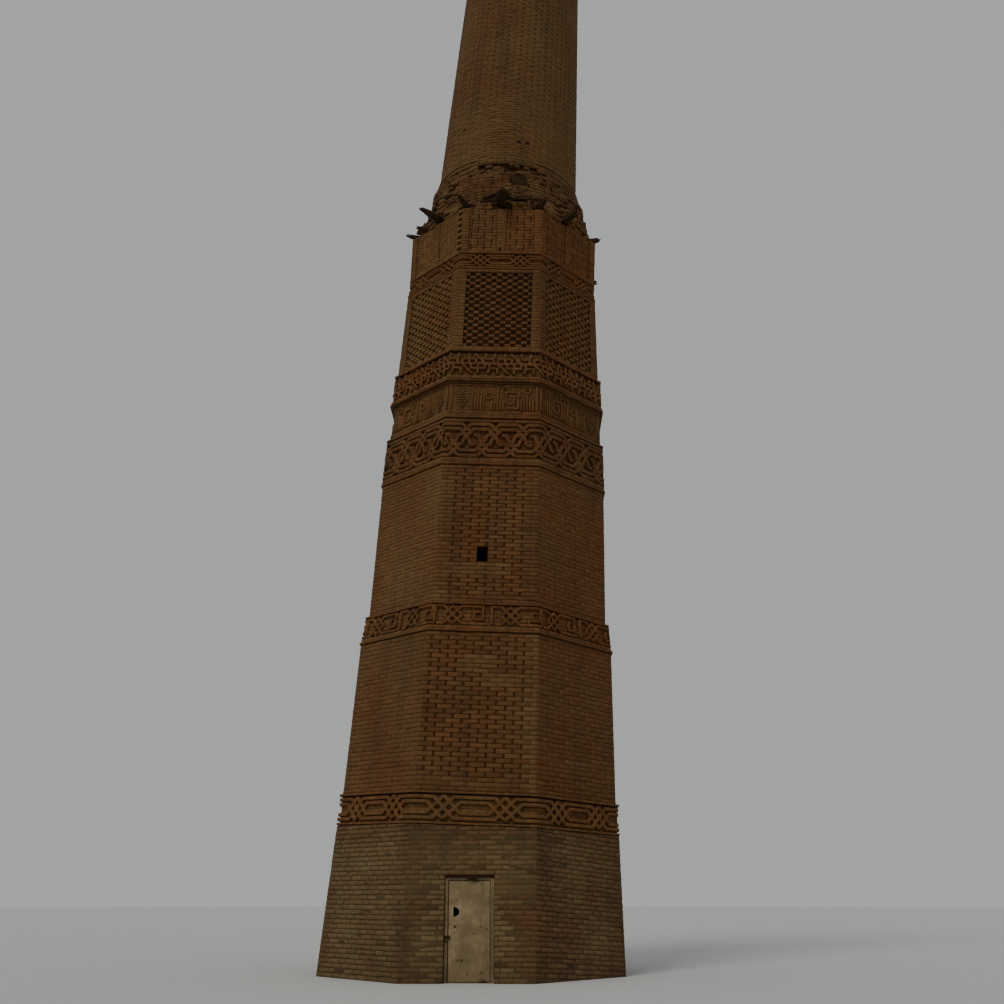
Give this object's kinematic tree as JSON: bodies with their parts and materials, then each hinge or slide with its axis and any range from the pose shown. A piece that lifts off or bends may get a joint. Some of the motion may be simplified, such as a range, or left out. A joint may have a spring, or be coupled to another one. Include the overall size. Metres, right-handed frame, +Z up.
{
  "type": "brick minaret",
  "caption": "Leaning brick minaret: octagonal tiers with relief bands, broken timber gallery, round tapering shaft and a steel door.",
  "frame": {"origin": "ground level on the tower's axis, at the centre of the floor's underside", "axes": "+Z up; -Y is the outward normal of the front face with the door; the tower leans towards +X"},
  "size_m": [5.9371, 5.7704, 25.094],
  "materials": {
    "brick": "weathered fired brick with sandy mortar",
    "pale_brick": "paler repaired brick with raked joints",
    "timber": "grey weathered timber",
    "floor_brick": "dusty brick floor",
    "painted_steel": "old cream paint with rust spots",
    "bare_steel": "rusty steel"
  },
  "bodies": {
    "tower": {"band_1": "brick", "tier_2_wall": "brick", "band_2": "brick", "tier_3_front_wall": "brick", "tier_3_wall": "brick", "band_3": "brick", "frieze_band": "brick", "band_4": "brick", "tier_4_wall": "brick", "band_5": "brick", "tier_5_wall": "brick", "gallery_core": "brick", "timber_left_corner": "timber", "timber_left_broken": "timber", "timber_left_face": "timber", "timber_front_left_corner": "timber", "timber_front": "timber", "timber_front_right_corner": "timber", "timber_right_face": "timber", "timber_right_corner": "timber", "timber_back_right": "timber", "timber_back": "timber", "timber_back_left": "timber", "shaft_foot_ring": "brick", "shaft_stave_1": "brick", "shaft_stave_2": "brick", "shaft_stave_3": "brick", "shaft_stave_4": "brick", "shaft_stave_5": "brick", "shaft_stave_6": "brick", "shaft_stave_7": "brick", "shaft_stave_8": "brick", "base_wall_front_left": "pale_brick", "base_wall_front_right": "pale_brick", "base_wall_over_door": "pale_brick", "base_wall_right_front": "pale_brick", "base_wall_right": "pale_brick", "base_wall_right_back": "pale_brick", "base_wall_back": "pale_brick", "base_wall_left_back": "pale_brick", "base_wall_left": "pale_brick", "base_wall_left_front": "pale_brick", "floor": "floor_brick", "passage_floor": "floor_brick", "door_frame": "painted_steel", "hinge_lower_frame_half": "bare_steel", "hinge_upper_frame_half": "bare_steel"},
    "door": {"door_leaf": "painted_steel", "hinge_lower_leaf_half": "bare_steel", "hinge_upper_leaf_half": "bare_steel", "door_hasp": "bare_steel", "padlock": "bare_steel"}
  },
  "joints": [
    {"name": "door_hinge", "type": "hinge", "parent": "tower", "child": "door", "pos_m": [0.402, -2.77, 0.9], "axis": [0, 0, 1], "range_deg": [0, 90]}
  ]
}
